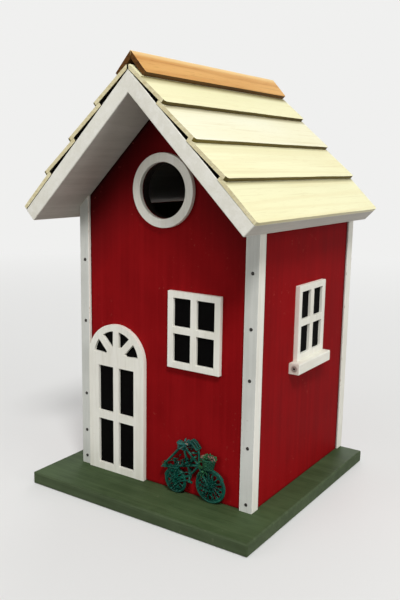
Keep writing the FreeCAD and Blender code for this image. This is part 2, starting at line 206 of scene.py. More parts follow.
baseGreen = dict(
    brushedPaint, tone=(68, 85, 54), deep=(54, 70, 41), light=(81, 97, 65), dark=(44, 57, 33),
    under=(112, 116, 88), brush=0.45, streak=0.5, rub=0.25, rubFrom=0.7, rough=0.52, relief=0.3, gloss=0.12,
    cloudScale=34.0, speckleScale=300.0, grain="X")
paints = {
    "barnRed": barnRed,
    "barnRedSide": dict(barnRed, dirt=sidePaintedShade),
    "barnRedEdge": dict(barnRed, rub=0.7, rubFrom=0.6),
    "trimWhite": trimWhite,
    "trimWhiteAlong": dict(trimWhite, grain="Y"),
    "trimWhiteEdge": dict(trimWhite, rub=0.6, rubFrom=0.6),
    # a greyer copy of the white for the roof boards' undersides: painted shade
    "trimWhiteUnder": dict(trimWhite, tone=(200, 196, 186), deep=(186, 182, 172), light=(210, 206, 197),
                           dark=(168, 163, 152), grain="Y"),
    "postGreyWhite": dict(trimWhite, tone=(212, 213, 206), deep=(197, 198, 191), light=(222, 223, 217),
                          dark=(184, 185, 177), under=(150, 146, 134), chamber=chamber),
    "postSideWhite": dict(trimWhite, chamber=chamber),
    "postEdgeWhite": dict(trimWhite, rub=0.6, rubFrom=0.6, chamber=chamber),
    "baseGreen": baseGreen,
    # a lighter copy for the base's edges and vertical faces: painted light, with heavier wear
    "baseGreenEdge": dict(baseGreen, tone=(70, 83, 57), deep=(57, 69, 45), light=(86, 100, 72),
                          dark=(46, 56, 35), rub=0.4, rubFrom=0.66),
}


def withPaintedShade(finish, shade, dirt, cloud, brush):
    # painted shade: the paint is darker close under the roof boards, most of all in the seam
    height = finish.split(finish.place, 2) + finish.offCentre(0) * math.tan(roofAngle)
    shade = finish.tint(shade, height + (cloud - 0.5) * dirt["shelterWaver"],
                        (wallTop - dirt["shelter"], wallTop), dirt["stain"], dirt["shelterMost"])
    seam = [wallTop - reach for reach in dirt["seam"]]
    shade = finish.tint(shade, height, seam, dirt["seamTone"], dirt["seamMost"])
    # and painted contact shade where the wall meets the posts and the base
    axis, centre, half = dirt["span"]
    beside = finish.offCentre(axis, centre) + (brush - 0.5) * dirt["cornerWaver"]
    corner = finish.band(beside, *(half - reach for reach in dirt["corner"]), dirt["cornerMost"])
    below = wallFoot - finish.split(finish.place, 2)
    foot = finish.band(below, *(-reach for reach in dirt["foot"]), dirt["footMost"])
    return finish.mix(finish.maths("MAXIMUM", corner, foot), shade, dirt["dirtTone"])


def bareInside(finish, shade, chamber):
    # bare wood, darkened as painted shade, where a post shows inside the nest chamber
    outX = finish.band(finish.offCentre(0), chamber["wide"] - chamber["edge"], chamber["wide"])
    outY = finish.band(finish.offCentre(1, bodyCentre.y), chamber["deep"] - chamber["edge"], chamber["deep"])
    return finish.mix((1.0 - outX) * (1.0 - outY), shade, chamber["wood"])


def paintedWood(name, look):
    # brushed paint over softwood: brush lines, clouds, raised grain, rubbed spots and small chips
    finish = Finish(name, {"Specular IOR Level": look["gloss"]})
    fibre = finish.noise(grainOf[look["grain"]], 4.0, 0.6)
    brush = finish.noise(brushOf[look["grain"]])
    cloud = finish.noise(look["cloudScale"], roughness=0.55)
    speckle = finish.noise(look["speckleScale"], 2.0, 0.6)
    patch = finish.noise(look["patchScale"], 2.0)
    shade = finish.tint(look["deep"], cloud, cloudBand, look["tone"])
    shade = finish.tint(shade, brush, look["brushBand"], look["light"], look["brush"])
    shade = finish.tint(shade, fibre, look["fibreBand"], look["dark"], look["streak"])
    # painted shade on the walls, under the roof and along the joints
    if "dirt" in look:
        shade = withPaintedShade(finish, shade, look["dirt"], cloud, brush)
    if "chamber" in look:
        shade = bareInside(finish, shade, look["chamber"])
    chips = finish.band(speckle, look["rubFrom"], look["rubFrom"] + look["rubSpread"], look["rub"])
    worn = finish.band(patch, *look["patchBand"]) * chips
    rough = (look["rough"] + look["cloudRough"] * cloud + look["brushRough"] * brush
             + look["wornRough"] * worn)
    height = (fibre * look["fibreRise"] + brush * look["brushRise"] + speckle * look["speckleRise"]
              - worn * look["wornDip"])
    return finish.laid(finish.mix(worn, shade, look["under"]), rough, height, look["relief"])


# bare and stained softwood on the roof, with painted shadow under each butt
def buttPlace(node, thickness):
    # how far down the slope the outer corner of a board's lower end is
    low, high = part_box(node)
    return high.x * math.cos(roofAngle) - (low.z + thickness * math.cos(roofAngle)) * math.sin(roofAngle)


butts = [buttPlace("right_shingle_%d" % course, 2.4 * mm) for course in (2, 3, 4)]
butts.append(buttPlace("right_ridge_strip", 3.0 * mm))
# painted shadow cast by each butt on the course below
buttShadow = dict(
    butts=butts, widths=(2.8 * mm, 2.4 * mm, 3.6 * mm, 5.2 * mm), most=(0.6, 0.4, 0.75, 0.9),
    start=(-0.2 * mm, 0.1 * mm), waver=3.0 * mm, tone=(114, 98, 38))
softwoodLook = dict(
    grain="Y", gloss=0.3, ringBand=(0.1, 1.0), poreBand=(0.55, 0.75), streakBand=(0.6, 0.72),
    poreRough=0.16, poreRise=0.6, ringRise=0.1, streakRise=0.3)
palePine = dict(
    softwoodLook, buttShadow=buttShadow, tone=(247, 244, 202), deep=(242, 237, 191), ring=(234, 221, 170),
    pore=(212, 194, 140), lines=(60, 1.2, 60), patches=(26, 6, 26), ringCount=30.0, ringStrength=0.3,
    poreStrength=0.25, streak=0.25, rough=0.62, relief=0.22)
# painted highlight along the ridge strips' top edge
crestHighlight = dict(
    span=(cadBox[1].z - 3.2 * mm, cadBox[1].z - 0.8 * mm), most=0.7, waver=1.5 * mm, tone=(250, 220, 160))
ridgeStain = dict(
    softwoodLook, crestHighlight=crestHighlight, tone=(228, 178, 106), deep=(214, 158, 86), ring=(194, 132, 62),
    pore=(156, 98, 38), lines=(46, 1.4, 46), patches=(30, 7, 30), ringCount=36.0, ringStrength=0.5,
    poreStrength=0.4, streak=0.45, rough=0.55, relief=0.35)
woods = {
    "palePine": palePine,
    "palePineFresh": dict(palePine, tone=(247, 245, 218), deep=(245, 241, 207), ring=(240, 232, 192),
                          ringStrength=0.2),
    # the butts' dark olive is painted shade
    "pineButt": dict(palePine, tone=(108, 95, 38), deep=(80, 66, 22), ring=(62, 50, 16), pore=(44, 34, 10),
                     poreStrength=0.6, streak=0.7),
    "pineEave": dict(palePine, tone=(244, 238, 204), deep=(234, 226, 186)),
    # near-black painted shadow for the hidden top of the roof boards and the courses' undersides and upper
    # ends
    "dampWood": dict(palePine, tone=(34, 29, 19), deep=(24, 20, 12), ring=(16, 12, 7), pore=(12, 9, 5),
                     gloss=0.05),
    "ridgeStain": ridgeStain,
    # a paler copy for the strips' upward top edge: painted highlight
    "ridgeEdge": dict(ridgeStain, tone=(246, 214, 150), deep=(236, 196, 126), ring=(216, 164, 92)),
    # a dark copy for the strips' lower faces: painted shade
    "ridgeFoot": dict(ridgeStain, tone=(112, 76, 24), deep=(82, 52, 12), ring=(62, 38, 8), pore=(42, 24, 4)),
    # bare wood for the chamber's side of the walls, darkened as painted shade
    "rawBoard": dict(softwoodLook, tone=(92, 74, 52), deep=(76, 60, 42), ring=(60, 45, 30),
                     pore=(44, 32, 20), lines=(40, 40, 1.5), patches=(20, 20, 6), ringCount=30.0,
                     ringStrength=0.4, poreStrength=0.4, streak=0.4, grain="Z", rough=0.75, relief=0.3,
                     gloss=0.1),
}


def softwood(name, look):
    # fine growth lines along the grain, pores, a few darker streaks
    finish = Finish(name, {"Specular IOR Level": look["gloss"]})
    lines = finish.noise(look["lines"], distortion=0.4)
    rings = finish.maths("SINE", lines * look["ringCount"])
    pores = finish.noise(grainOf[look["grain"]], roughness=0.65, finer=1.3)
    cloud = finish.noise(look["patches"], 2.0)
    streak = finish.noise(brushOf[look["grain"]], 2.0, finer=1.7)
    shade = finish.tint(look["deep"], cloud, cloudBand, look["tone"])
    shade = finish.tint(shade, rings, look["ringBand"], look["ring"], look["ringStrength"])
    shade = finish.tint(shade, pores, look["poreBand"], look["pore"], look["poreStrength"])
    shade = finish.tint(shade, streak, look["streakBand"], look["pore"], look["streak"])
    if "buttShadow" in look:
        # painted shadow just below the butt of the next course up
        buttShadow = look["buttShadow"]
        slope = (finish.offCentre(0) * math.cos(roofAngle)
                 - finish.split(finish.place, 2) * math.sin(roofAngle))
        ragged = slope + (streak - 0.5) * buttShadow["waver"]
        dirt = 0.0
        for butt, width, most in zip(buttShadow["butts"], buttShadow["widths"], buttShadow["most"]):
            line = finish.band(slope, *(butt + step for step in buttShadow["start"]), most)
            dirt = line * (1.0 - finish.band(ragged, butt, butt + width)) + dirt
        shade = finish.mix(dirt, shade, buttShadow["tone"])
    if "crestHighlight" in look:
        # painted highlight along the very top
        crestHighlight = look["crestHighlight"]
        height = finish.split(finish.place, 2) + (streak - 0.5) * crestHighlight["waver"]
        shade = finish.tint(shade, height, crestHighlight["span"], crestHighlight["tone"], crestHighlight["most"])
    height = pores * look["poreRise"] + rings * look["ringRise"] + streak * look["streakRise"]
    return finish.laid(shade, look["rough"] + look["poreRough"] * pores, height, look["relief"])


# sawn ends and bores
sawnLook = dict(
    arcs=(260, 30, 700), arcBand=(0.3, 0.7), fuzzScale=900.0, fuzzBand=(0.5, 0.8), fuzzStrength=0.35,
    gloss=0.15, rough=0.75, fuzzRough=0.15, relief=0.35)
sawnEnds = {"pineEnd": {"tone": (240, 231, 192), "deep": (216, 202, 156), "fuzz": (160, 140, 96)},
            "ridgeEnd": {"tone": (112, 72, 28), "deep": (70, 42, 14), "fuzz": (44, 24, 8)},
            # the bores' near-black is painted shade
            "boreWood": {"tone": (34, 26, 20), "deep": (22, 16, 12), "fuzz": (14, 10, 8)}}


def sawnEnd(name, look):
    # short arcs of the rings with fuzz and darker saw marks
    finish = Finish(name, {"Specular IOR Level": sawnLook["gloss"]})
    arcs = finish.noise(sawnLook["arcs"], distortion=0.6)
    fuzz = finish.noise(sawnLook["fuzzScale"], roughness=0.7)
    shade = finish.tint(look["deep"], arcs, sawnLook["arcBand"], look["tone"])
    shade = finish.tint(shade, fuzz, sawnLook["fuzzBand"], look["fuzz"], sawnLook["fuzzStrength"])
    return finish.laid(shade, sawnLook["rough"] + sawnLook["fuzzRough"] * fuzz, fuzz, sawnLook["relief"])


# panes, metal and the bicycle's enamel
smoothLook = dict(
    smearScale=(90, 90, 90), smearBand=(0.35, 0.68), spotScale=700.0, spotBand=(0.58, 0.66), metal=0.0,
    coat=0.0, coatRough=0.2, smearRough=0.15, relief=0.3, deepest=0.2 * mm)
smooths = {
    "blackPane": dict(smoothLook, tone=(5, 4, 4), light=(8, 8, 7), spot=(14, 14, 13), spotStrength=0.4,
                      rough=0.55, relief=0.05, gloss=0.02),
    "wireNail": dict(smoothLook, tone=(38, 37, 35), light=(58, 56, 52), spot=(70, 40, 26), spotStrength=0.7,
                     rough=0.5, metal=0.4, gloss=0.3),
    "zincScrew": dict(smoothLook, tone=(96, 93, 86), light=(124, 121, 112), spot=(62, 52, 42),
                      spotStrength=0.7, rough=0.42, metal=0.8, gloss=0.4, slotTone=(26, 14, 12),
                      slotFrom=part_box("pivot_screw")[1].y - 0.5 * mm),
    "tealEnamel": dict(smoothLook, tone=(4, 54, 45), light=(10, 88, 72), spot=(58, 122, 104),
                       spotStrength=0.35, spotScale=420.0, rough=0.4, coat=0.08, relief=0.25, gloss=0.16),
    "tealEnamelWorn": dict(smoothLook, tone=(10, 60, 56), light=(44, 102, 94), spot=(160, 138, 124),
                           spotStrength=0.6, spotScale=330.0, rough=0.46, gloss=0.16),
    "tealWicker": dict(smoothLook, tone=(16, 66, 48), light=(40, 98, 68), spot=(8, 40, 30),
                       spotStrength=0.6, spotScale=500.0, rough=0.5, gloss=0.2),
    "castLeaf": dict(smoothLook, tone=(14, 68, 42), light=(54, 112, 68), spot=(8, 40, 26),
                     spotStrength=0.6, spotScale=300.0, rough=0.5, gloss=0.2),
    "castPetal": dict(smoothLook, tone=(132, 100, 90), light=(164, 130, 116), spot=(84, 62, 56),
                      spotStrength=0.5, spotScale=400.0, rough=0.55, relief=0.2, gloss=0.2),
}


def smoothFinish(name, look):
    # nearly even, with smears and spots
    finish = Finish(name, {"Metallic": look["metal"], "Coat Weight": look["coat"],
                           "Coat Roughness": look["coatRough"], "Specular IOR Level": look["gloss"]})
    smear = finish.noise(look["smearScale"], 4.0, 0.6)
    spots = finish.noise(look["spotScale"], 2.0, 0.6)
    shade = finish.tint(look["tone"], smear, look["smearBand"], look["light"])
    shade = finish.tint(shade, spots, look["spotBand"], look["spot"], look["spotStrength"])
    if "slotFrom" in look:
        # darker deeper than half a millimetre into the head, in the slot
        outside = finish.band(finish.split(finish.place, 1), look["slotFrom"], look["slotFrom"] + 0.3 * mm)
        shade = finish.mix(1.0 - outside, shade, look["slotTone"])
    return finish.laid(shade, look["rough"] + look["smearRough"] * smear, spots * 0.5 + smear * 0.5,
                       look["relief"], look["deepest"])


sillStain = dict(
    name="trimWhiteSill", waver=1.2 * mm, ring=(1.3 * mm, 2.7 * mm), most=0.8, rust=(92, 58, 48))


def sillFinish():
    # trim paint with a rusty ring round each nail in the sills' ends
    finish = Finish(sillStain["name"], {"Specular IOR Level": trimWhite["gloss"]})
    fibre = finish.noise(grainOf["Y"], 4.0, 0.6)
    cloud = finish.noise(trimWhite["cloudScale"], roughness=0.55)
    shade = finish.tint(trimWhite["deep"], cloud, cloudBand, trimWhite["tone"])
    shade = finish.tint(shade, fibre, trimWhite["fibreBand"], trimWhite["dark"], trimWhite["streak"])
    for side in ("left", "right"):
        low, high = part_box(side + "_window_sill")
        for y in (low.y, high.y):
            spot = ((low.x + high.x) / 2, y, (low.z + high.z) / 2)
            apart = finish.node("ShaderNodeVectorMath", {0: finish.place, 1: spot}, "Value",
                                operation="DISTANCE")
            clear = finish.band(apart + (cloud - 0.5) * sillStain["waver"], *sillStain["ring"])
            shade = finish.mix((1.0 - clear) * sillStain["most"], shade, sillStain["rust"])
    return finish.laid(shade, trimWhite["rough"] + trimWhite["cloudRough"] * cloud, fibre,
                       trimWhite["relief"])


finishes = {sillStain["name"]: sillFinish()}
for makeFinish, looks in ((paintedWood, paints), (softwood, woods), (sawnEnd, sawnEnds),
                          (smoothFinish, smooths)):
    for name, look in looks.items():
        finishes[name] = makeFinish(name, look)
print("finishes made")


def corners(points):
    return Vector(map(min, *points)), Vector(map(max, *points))


def shapeOf(mesh, merge=0.0):
    shape = bmesh.new()
    shape.from_mesh(mesh)
    if merge:
        bmesh.ops.remove_doubles(shape, verts=shape.verts, dist=merge)
    return shape


def meshOf(shape, name):
    mesh = bpy.data.meshes.new(name)
    shape.to_mesh(mesh)
    shape.free()
    return mesh


def evaluatedMesh(piece, allLayers=False):
    bpy.context.view_layer.update()
    graph = bpy.context.evaluated_depsgraph_get()
    return bpy.data.meshes.new_from_object(piece.evaluated_get(graph), preserve_all_data_layers=allLayers,
                                           depsgraph=graph)


def plainMesh(piece):
    # turns what the modifiers make into a plain mesh
    mesh, old = evaluatedMesh(piece, allLayers=True), piece.data
    piece.modifiers.clear()
    piece.data = mesh
    mesh.name = piece.name
    bpy.data.meshes.remove(old)


def newObject(name, data):
    piece = bpy.data.objects.new(name, data)
    bpy.context.scene.collection.objects.link(piece)
    return piece


def place(piece, nodes=(), body="house"):
    if nodes:
        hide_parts(*nodes)
    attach(piece, body)


def shadeBySize(mesh, widest=40):
    # big flat faces keep their own normal, and the narrow faces beside them blend into them
    shape = shapeOf(mesh)
    limit = math.cos(math.radians(widest))
    areas = {face: face.calc_area() for face in shape.faces}
    normals = []
    for face in shape.faces:
        for loop in face.loops:
            near = [other for other in loop.vert.link_faces if other.normal.dot(face.normal) > limit]
            total = sum((other.normal * areas[other] for other in near), Vector())
            normals.append(total.normalized() if total.length > 1e-14 else face.normal.copy())
    shape.free()
    mesh.normals_split_custom_set(normals)


# boards cut from the frame's nodes
def roughen(shape, wave):
    # hand-cut boards: long edges waver and the ends are a little uneven, always inwards
    along = [edge for edge in shape.edges if abs((edge.verts[0].co - edge.verts[1].co).y) > wave["longEdge"]]
    bmesh.ops.subdivide_edges(shape, edges=along, cuts=wave["cuts"], use_grid_fill=True)
    ends = min(vert.co.y for vert in shape.verts), max(vert.co.y for vert in shape.verts)
    for end in ends:
        for step in wave["endCuts"]:
            spot = Vector((0, end - math.copysign(step, end), 0))
            bmesh.ops.bisect_plane(shape, geom=shape.verts[:] + shape.edges[:] + shape.faces[:], dist=1e-7,
                                   plane_co=spot, plane_no=(0, 1, 0))
    low, high = corners([vert.co for vert in shape.verts])
    middle = Vector(((low.x + high.x) / 2, 0, (low.z + high.z) / 2))
    slope = Vector((high.x - low.x, 0, low.z - high.z)).normalized()
    slope.x *= math.copysign(1, middle.x)
    for vert in shape.verts:
        offset = vert.co - middle
        reach = offset.x * slope.x + offset.z * slope.z
        down = 1 if reach > 0 else -1
        # each board and each of its edges has its own stretch of noise
        stretch = down * wave["edgeStep"] + middle.x * wave["boardStep"]
        seed = Vector((vert.co.y * wave["ripple"], stretch, wave["seed"]))
        amount = (wave["edge"] * (0.5 + 0.5 * noise.noise(seed))
                  + wave["fray"] * (0.5 + 0.5 * noise.noise(seed * wave["frayRipple"])))
        apart = min(abs(vert.co.y - end) for end in ends)
        if down > 0 and apart < wave["corner"]:
            bow = wave["corner"] - math.sqrt(wave["corner"] ** 2 - (wave["corner"] - apart) ** 2)
            amount += wave["cornerDepth"] * bow
        vert.co -= slope * down * amount
        if vert.co.y < low.y + 1e-5 or vert.co.y > high.y - 1e-5:
            inwards = -math.copysign(1, vert.co.y)
            seed = Vector((reach * wave["endRipple"], inwards, middle.x * wave["endStep"]))
            vert.co.y += inwards * wave["end"] * (0.5 + 0.5 * noise.noise(seed))


easing = dict(merge=1e-6, flat=math.radians(0.3), sharp=math.radians(25), segments=3)


def timber(node, look, body="house"):
    # a copy of a CAD node with clean faces, eased edges and a finish for each face
    shape = shapeOf(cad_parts[node].data, easing["merge"])
    bmesh.ops.dissolve_limit(shape, angle_limit=easing["flat"], verts=shape.verts, edges=shape.edges)
    names = [look["edge"]] if "edge" in look else []
    for face in shape.faces:
        name = look["pick"](face)
        if name not in names:
            names.append(name)
        face.material_index = names.index(name)
        face.smooth = True
    if "wave" in look:
        roughen(shape, look["wave"])
    weights = shape.edges.layers.float.new("bevel_weight_edge")
    for edge in shape.edges:
        mitred = max(abs(vert.co.x) for vert in edge.verts) < look.get("mitre", 0)
        if (edge.is_manifold and not mitred and edge.calc_face_angle() > easing["sharp"]
                and edge.calc_length() > look["shortest"]):
            edge[weights] = 1.0
    mesh = meshOf(shape, node + "Body")
    for name in names:
        mesh.materials.append(finishes[name])
    piece = newObject(node + "Body", mesh)
    bevel = piece.modifiers.new("ease", "BEVEL")
    bevel.limit_method = "WEIGHT"
    bevel.width = look["ease"]
    bevel.segments = easing["segments"]
    bevel.material = 0 if "edge" in look else -1
    plainMesh(piece)
    shadeBySize(piece.data)
    place(piece, [node], body)


# how much of a face's normal lies along an axis, for faces that look nearly, half or partly that way
facing, halfway, leaning = 0.9, 0.5, 0.3


def outwardOf(face):
    # how far a roof face looks away from the ridge
    return face.normal.x * math.copysign(1, face.calc_center_median().x)


# the holes' faces are this near the middle and below this height, and the chamber's are this far inside
wallParts = dict(holeReach=24 * mm, holeTop=225 * mm, inside=20 * mm)


def wallFace(face, paint="barnRed"):
    # the nest chamber's side of a wall is bare wood kept dark as painted shade, and the holes' bores are
    # nearly black as painted shade
    middle = face.calc_center_median()
    if (abs(face.normal.y) < halfway and abs(middle.x) < wallParts["holeReach"]
            and middle.z < wallParts["holeTop"]):
        return "boreWood"
    inwards = (houseCentre - middle).xy.dot(face.normal.xy)
    return "rawBoard" if inwards > wallParts["inside"] and abs(face.normal.z) < halfway else paint


def postFace(face):
    # faces towards the front and back take the cooler grey white
    return "postGreyWhite" if abs(face.normal.y) > facing else "postSideWhite"


def roofFace(face):
    # the underside takes the greyed white as painted shade, and the hidden top the near-black painted shadow
    if abs(face.normal.y) > facing or abs(face.normal.z) < leaning:
        return "trimWhiteAlong"
    return "trimWhiteUnder" if face.normal.z < 0 else "dampWood"


def shingleFace(face, top="palePine", butt="pineButt"):
    # weathered top, sawn ends, a butt darkened as painted shade, and a near-black painted-shadow underside
    # and upper end
    if abs(face.normal.y) > facing:
        return "pineEnd"
    if face.normal.z > leaning and outwardOf(face) > 0:
        return top
    return butt if outwardOf(face) > leaning else "dampWood"


def ridgeFace(face):
    # the top edge takes a painted highlight and the lower faces painted shade
    if abs(face.normal.y) > facing:
        return "ridgeEnd"
    if face.normal.z > leaning:
        return "ridgeStain" if outwardOf(face) > leaning else "ridgeEdge"
    return "ridgeFoot"


def baseFace(face):
    return "baseGreen" if abs(face.normal.z) > facing else "baseGreenEdge"


wallLook = dict(pick=wallFace, edge="barnRedEdge", ease=0.4 * mm, shortest=3 * mm)
sideLook = dict(wallLook, pick=lambda face: wallFace(face, "barnRedSide"))
coverLook = dict(wallLook, pick=lambda face: "barnRed", shortest=0.5 * mm)
postLook = dict(pick=postFace, edge="postEdgeWhite", ease=0.5 * mm, shortest=3 * mm)
baseLook = dict(pick=baseFace, edge="baseGreenEdge", ease=0.4 * mm, shortest=3 * mm)
trimLook = dict(pick=lambda face: "trimWhite", edge="trimWhiteEdge", ease=0.35 * mm, shortest=0.8 * mm)
sillLook = dict(trimLook, pick=lambda face: sillStain["name"])
ringLook = dict(trimLook, shortest=0.0)
roofLook = dict(pick=roofFace, edge="trimWhiteEdge", ease=0.6 * mm, shortest=1.5 * mm, mitre=1.5 * mm)
shingleWave = dict(
    cuts=44, endCuts=(0.5 * mm, 1.2 * mm, 2.1 * mm), ripple=38, edge=0.45 * mm, frayRipple=6, fray=0.2 * mm,
    endRipple=60, end=0.7 * mm, corner=2.8 * mm, cornerDepth=0.6, seed=4.0, longEdge=100 * mm, edgeStep=3.7,
    boardStep=90, endStep=140)
shingleLook = dict(pick=shingleFace, ease=0.2 * mm, shortest=1 * mm, wave=shingleWave)
freshLook = dict(shingleLook, pick=lambda face: shingleFace(face, top="palePineFresh"))
eaveLook = dict(shingleLook, pick=lambda face: shingleFace(face, butt="pineEave"))
ridgeWave = dict(
    shingleWave, cuts=40, edge=0.35 * mm, fray=0.1 * mm, end=0.4 * mm, corner=1.5 * mm, seed=9.0)
ridgeLook = dict(pick=ridgeFace, ease=0.35 * mm, shortest=1 * mm, wave=ridgeWave)

timber("base_board", baseLook)
for wall in ("front_wall", "rear_wall"):
    timber(wall, wallLook)
for side in ("left", "right"):
    timber(side + "_side_wall", sideLook)
    for end in ("front", "rear"):
        timber(end + "_" + side + "_post", postLook)
    timber(side + "_roof_board", roofLook)
    timber(side + "_ridge_strip", ridgeLook)
    for course, look in enumerate((eaveLook, shingleLook, freshLook, shingleLook), 1):
        timber("%s_shingle_%d" % (side, course), look)
    timber(side + "_window_sill", sillLook)
for window in ("left", "right", "front"):
    timber(window + "_window_frame", trimLook)
timber("door_frame", trimLook)
timber("entrance_ring", ringLook)
timber("cleanout_cover", coverLook, "cover")
print("timber pieces made")

# CAD nodes that stay as they are, each with a finish
plainNodes = {"blackPane": ("door_panes", "front_window_panes", "left_window_panes", "right_window_panes"),
              "zincScrew": ("pivot_screw",), "wireNail": ("base_nails", "sill_nails")}
for finishName, nodes in plainNodes.items():
    for node in nodes:
        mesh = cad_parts[node].data
        mesh.materials.clear()
        mesh.materials.append(finishes[finishName])
print("panes and hidden fixings finished")


class Maker(Tree):
    # a Geometry Nodes tree with named sizes, for what repeats
    def __init__(self, name, sizes):
        super().__init__(bpy.data.node_groups.new(name, "GeometryNodeTree"))
        ports = self.tree.interface
        for way in ("INPUT", "OUTPUT"):
            ports.new_socket("Geometry", in_out=way, socket_type="NodeSocketGeometry")
        finishPort = ports.new_socket("Finish", in_out="INPUT", socket_type="NodeSocketMaterial")
        self.keys = {"Finish": finishPort.identifier}
        for label, value in sizes.items():
            kind = "NodeSocketInt" if isinstance(value, int) else "NodeSocketFloat"
            port = ports.new_socket(label, in_out="INPUT", socket_type=kind)
            port.default_value = value
            self.keys[label] = port.identifier
        labels = ("Geometry", *self.keys)
        self.given = dict(zip(labels, self.node("NodeGroupInput", output=labels)))

    def moved(self, geometry, shift=(0, 0, 0), turn=(0, 0, 0), scale=(1, 1, 1)):
        return self.node("GeometryNodeTransform",
                         {"Geometry": geometry, "Translation": shift, "Rotation": turn, "Scale": scale})

    def copies(self, points, piece, turn=(0, 0, 0), scale=(1, 1, 1)):
        return self.node("GeometryNodeInstanceOnPoints",
                         {"Points": points, "Instance": piece, "Rotation": turn, "Scale": scale})

    def circle(self, radius, points):
        return self.node("GeometryNodeCurvePrimitiveCircle", {"Resolution": points, "Radius": radius},
                         mode="RADIUS")

    def rod(self, curve, radius, sides):
        return self.node("GeometryNodeCurveToMesh",
                         {"Curve": curve, "Profile Curve": self.circle(radius, sides), "Fill Caps": True})

    def cylinder(self, radius, depth, sides):
        return self.node("GeometryNodeMeshCylinder", {"Vertices": sides, "Radius": radius, "Depth": depth})

    def cone(self, foot, top, depth, sides):
        return self.node("GeometryNodeMeshCone",
                         {"Vertices": sides, "Radius Bottom": foot, "Radius Top": top, "Depth": depth})

    def eulerTurn(self, angles):
        return self.node("FunctionNodeEulerToRotation", {"Euler": angles})

    def realized(self, geometry):
        return self.node("GeometryNodeRealizeInstances", {"Geometry": geometry})

    def close(self, *parts):
        whole = self.node("GeometryNodeJoinGeometry", {"Geometry": list(parts)})
        smooth = self.node("GeometryNodeSetShadeSmooth",
                           {"Geometry": self.realized(whole), "Shade Smooth": True})
        done = self.node("GeometryNodeSetMaterial", {"Geometry": smooth, "Material": self.given["Finish"]})
        self.node("NodeGroupOutput", {"Geometry": done})

    def make(self, name, mesh, finish, sizes=None):
        piece = newObject(name, mesh)
        modifier = piece.modifiers.new(name, "NODES")
        modifier.node_group = self.tree
        for label, value in dict(sizes or {}, Finish=finishes[finish]).items():
            modifier[self.keys[label]] = value
        plainMesh(piece)
        shape = shapeOf(piece.data, merge=1e-7)
        bmesh.ops.recalc_face_normals(shape, faces=shape.faces)
        shape.to_mesh(piece.data)
        shape.free()
        return piece


def pointMesh(name, points=((0, 0, 0),)):
    mesh = bpy.data.meshes.new(name)
    mesh.from_pydata([tuple(point) for point in points], [], [])
    return mesh


# nails in the posts: a low domed head with a flat crown over a square shank
nails = {"Head": 1.1 * mm, "Crown": 0.38 * mm, "Shank": 1.3 * mm, "Length": 18.9 * mm, "Sides": 20}
nailHead = dict(
    thickness=0.4 * mm, rimTop=0.88, rimDepth=0.7, crownFoot=0.86, crownTop=0.55, crownDepth=0.34,
    crownRise=0.66, shankRise=0.1 * mm)


def nailMaker():
    maker = Maker("nailMaker", nails)
    head, crown, shank, length, sides = (maker.given[label] for label in nails)
    outward = maker.node("GeometryNodeInputNamedAttribute", {"Name": "outward"}, data_type="FLOAT_VECTOR")
    headTurn = maker.node("FunctionNodeAlignRotationToVector", {"Vector": outward}, axis="Z")
    rim = maker.cone(head, head * nailHead["rimTop"], crown * nailHead["rimDepth"], sides)
    cap = maker.cone(head * nailHead["crownFoot"], head * nailHead["crownTop"],
                     crown * nailHead["crownDepth"], sides)
    cap = maker.moved(cap, maker.joined(0.0, 0.0, crown * nailHead["crownRise"]))
    bar = maker.node("GeometryNodeMeshCube", {"Size": maker.joined(shank, shank, length)})
    bar = maker.moved(bar, maker.joined(0.0, 0.0, length * -0.5 + nailHead["shankRise"]))
    maker.close(*(maker.copies(maker.given["Geometry"], part, headTurn) for part in (rim, cap, bar)))
    return maker


def islands(node):
    # the box of each separate solid in a CAD node
    shape = shapeOf(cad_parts[node].data, merge=1e-6)
    seen, found = set(), []
    for start in shape.verts:
        if start in seen:
            continue
        group = [start]
        seen.add(start)
        for vert in group:
            for edge in vert.link_edges:
                other = edge.other_vert(vert)
                if other not in seen:
                    seen.add(other)
                    group.append(other)
        found.append(corners([vert.co for vert in group]))
    shape.free()
    return found


spots, outwards = [], []
for low, high in islands("post_nails"):
    middle = (low + high) / 2
    sign = -1 if middle.y < houseCentre.y else 1
    middle.y = (low.y if sign < 0 else high.y) - sign * nailHead["thickness"]
    spots.append(middle)
    outwards.append((0, sign, 0))
nailPoints = pointMesh("postNailHeads", spots)
for entry, vector in zip(nailPoints.attributes.new("outward", "FLOAT_VECTOR", "POINT").data, outwards):
    entry.vector = vector
place(nailMaker().make("postNailHeads", nailPoints, "wireNail"), ["post_nails"])
print("post nails made")


